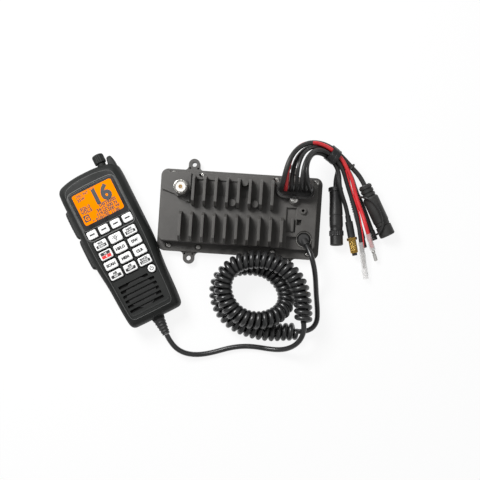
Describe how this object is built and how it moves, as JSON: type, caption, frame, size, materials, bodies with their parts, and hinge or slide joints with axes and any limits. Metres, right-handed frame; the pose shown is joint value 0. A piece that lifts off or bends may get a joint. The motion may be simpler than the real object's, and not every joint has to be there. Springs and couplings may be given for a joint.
{
  "type": "vhf marine radio",
  "caption": "Black-box marine VHF transceiver with finned heatsink, command handset with display and keypad on a curly cord, and a bundle of power and accessory leads.",
  "frame": {"origin": "centre of the transceiver's mounting face (underside of its base cover)", "axes": "+X along the transceiver, towards the lead end; +Y towards the row of fastening ears behind the fins; +Z out of the finned face"},
  "size_m": [0.3848, 0.2523, 0.0676],
  "materials": {
    "cast_shell": "textured",
    "screw_steel": "satin",
    "nickel": "polished",
    "white_insulator": "satin",
    "gold_contact": "polished",
    "dark_nut": "satin",
    "black_rubber": "matte",
    "charcoal_plastic": "textured",
    "lens": "polished",
    "amber_lcd": "satin",
    "board_green": "satin",
    "speaker_black": "matte",
    "white_key": "satin",
    "red_key": "satin",
    "cord_rubber": "satin",
    "red_insulation": "satin",
    "black_tape": "satin",
    "brass_nut": "polished",
    "clear_sleeve": "satin"
  },
  "bodies": {
    "radio": {"rear_housing": "cast_shell", "base_cover": "cast_shell", "cover_screws": "screw_steel", "antenna_socket_shell": "nickel", "antenna_socket_insulator": "white_insulator", "antenna_socket_contact": "gold_contact", "antenna_socket_nut": "dark_nut", "lead_gland_grommet": "black_rubber", "mic_gland_ring": "nickel", "mic_gland_grommet": "black_rubber", "front_shell": "charcoal_plastic", "back_shell": "charcoal_plastic", "display_lens": "lens", "lcd_panel": "amber_lcd", "handset_board": "board_green", "speaker": "speaker_black", "key_mat": "black_rubber", "cord_boot": "black_rubber", "mic_cord_run": "cord_rubber", "mic_cord_coil": "cord_rubber", "mic_cord_tail": "cord_rubber", "lead_joint": "cord_rubber", "lead_red": "red_insulation", "lead_capped": "cord_rubber", "lead_slim": "cord_rubber", "lead_black": "cord_rubber", "lead_plug": "cord_rubber", "lead_coax": "cord_rubber", "tape_wrap": "black_tape", "plug_body": "charcoal_plastic", "coax_plug": "black_rubber", "slim_plug": "black_rubber", "joint_body": "black_rubber", "capped_plug": "black_rubber", "capped_plug_cap": "black_rubber", "red_terminal": "nickel", "black_terminal": "nickel", "terminal_sleeves": "clear_sleeve"},
    "soft_key_1": {"soft_key_1": "white_key"},
    "soft_key_2": {"soft_key_2": "white_key"},
    "soft_key_3": {"soft_key_3": "white_key"},
    "soft_key_4": {"soft_key_4": "white_key"},
    "keypad_key_01": {"keypad_key_01": "white_key"},
    "keypad_key_02": {"keypad_key_02": "white_key"},
    "keypad_key_03": {"keypad_key_03": "white_key"},
    "keypad_key_04": {"keypad_key_04": "red_key"},
    "keypad_key_05": {"keypad_key_05": "white_key"},
    "keypad_key_06": {"keypad_key_06": "white_key"},
    "keypad_key_07": {"keypad_key_07": "white_key"},
    "keypad_key_08": {"keypad_key_08": "white_key"},
    "keypad_key_09": {"keypad_key_09": "white_key"},
    "keypad_key_10": {"keypad_key_10": "white_key"},
    "keypad_key_11": {"keypad_key_11": "white_key"},
    "keypad_key_12": {"keypad_key_12": "white_key"},
    "power_key": {"power_key": "white_key"},
    "channel_knob": {"channel_knob": "charcoal_plastic"},
    "talk_key": {"talk_key": "black_rubber"},
    "side_key": {"side_key": "black_rubber"},
    "plug_ring": {"plug_ring": "charcoal_plastic"},
    "coax_nut": {"coax_nut": "brass_nut"}
  },
  "joints": [
    {"name": "soft_key_1_press", "type": "slide", "parent": "radio", "child": "soft_key_1", "axis": [0, 0, -1], "range_m": [0, 0.0007], "stiffness_N_per_m": 400},
    {"name": "soft_key_2_press", "type": "slide", "parent": "radio", "child": "soft_key_2", "axis": [0, 0, -1], "range_m": [0, 0.0007], "stiffness_N_per_m": 400},
    {"name": "soft_key_3_press", "type": "slide", "parent": "radio", "child": "soft_key_3", "axis": [0, 0, -1], "range_m": [0, 0.0007], "stiffness_N_per_m": 400},
    {"name": "soft_key_4_press", "type": "slide", "parent": "radio", "child": "soft_key_4", "axis": [0, 0, -1], "range_m": [0, 0.0007], "stiffness_N_per_m": 400},
    {"name": "keypad_key_01_press", "type": "slide", "parent": "radio", "child": "keypad_key_01", "axis": [0, 0, -1], "range_m": [0, 0.0007], "stiffness_N_per_m": 400},
    {"name": "keypad_key_02_press", "type": "slide", "parent": "radio", "child": "keypad_key_02", "axis": [0, 0, -1], "range_m": [0, 0.0007], "stiffness_N_per_m": 400},
    {"name": "keypad_key_03_press", "type": "slide", "parent": "radio", "child": "keypad_key_03", "axis": [0, 0, -1], "range_m": [0, 0.0007], "stiffness_N_per_m": 400},
    {"name": "keypad_key_04_press", "type": "slide", "parent": "radio", "child": "keypad_key_04", "axis": [0, 0, -1], "range_m": [0, 0.0007], "stiffness_N_per_m": 400},
    {"name": "keypad_key_05_press", "type": "slide", "parent": "radio", "child": "keypad_key_05", "axis": [0, 0, -1], "range_m": [0, 0.0007], "stiffness_N_per_m": 400},
    {"name": "keypad_key_06_press", "type": "slide", "parent": "radio", "child": "keypad_key_06", "axis": [0, 0, -1], "range_m": [0, 0.0007], "stiffness_N_per_m": 400},
    {"name": "keypad_key_07_press", "type": "slide", "parent": "radio", "child": "keypad_key_07", "axis": [0, 0, -1], "range_m": [0, 0.0007], "stiffness_N_per_m": 400},
    {"name": "keypad_key_08_press", "type": "slide", "parent": "radio", "child": "keypad_key_08", "axis": [0, 0, -1], "range_m": [0, 0.0007], "stiffness_N_per_m": 400},
    {"name": "keypad_key_09_press", "type": "slide", "parent": "radio", "child": "keypad_key_09", "axis": [0, 0, -1], "range_m": [0, 0.0007], "stiffness_N_per_m": 400},
    {"name": "keypad_key_10_press", "type": "slide", "parent": "radio", "child": "keypad_key_10", "axis": [0, 0, -1], "range_m": [0, 0.0007], "stiffness_N_per_m": 400},
    {"name": "keypad_key_11_press", "type": "slide", "parent": "radio", "child": "keypad_key_11", "axis": [0, 0, -1], "range_m": [0, 0.0007], "stiffness_N_per_m": 400},
    {"name": "keypad_key_12_press", "type": "slide", "parent": "radio", "child": "keypad_key_12", "axis": [0, 0, -1], "range_m": [0, 0.0007], "stiffness_N_per_m": 400},
    {"name": "power_key_press", "type": "slide", "parent": "radio", "child": "power_key", "axis": [0, 0, -1], "range_m": [0, 0.0007], "stiffness_N_per_m": 400},
    {"name": "talk_key_press", "type": "slide", "parent": "radio", "child": "talk_key", "axis": [0.8625, 0.506, 0], "range_m": [0, 0.0014], "stiffness_N_per_m": 800},
    {"name": "side_key_press", "type": "slide", "parent": "radio", "child": "side_key", "axis": [0.8625, 0.506, 0], "range_m": [0, 0.0014], "stiffness_N_per_m": 800},
    {"name": "channel_knob_turn", "type": "hinge", "parent": "radio", "child": "channel_knob", "pos_m": [-0.16076, 0.04522, 0.02], "axis": [-0.506, 0.8625, 0], "continuous": true},
    {"name": "plug_ring_turn", "type": "hinge", "parent": "radio", "child": "plug_ring", "pos_m": [0.108, 0.0381, 0.0086], "axis": [0.0833, -0.9965, 0], "continuous": true},
    {"name": "coax_nut_turn", "type": "hinge", "parent": "radio", "child": "coax_nut", "pos_m": [0.124, 0.0065, 0.0092], "axis": [0.2481, -0.9672, -0.0547], "continuous": true}
  ]
}
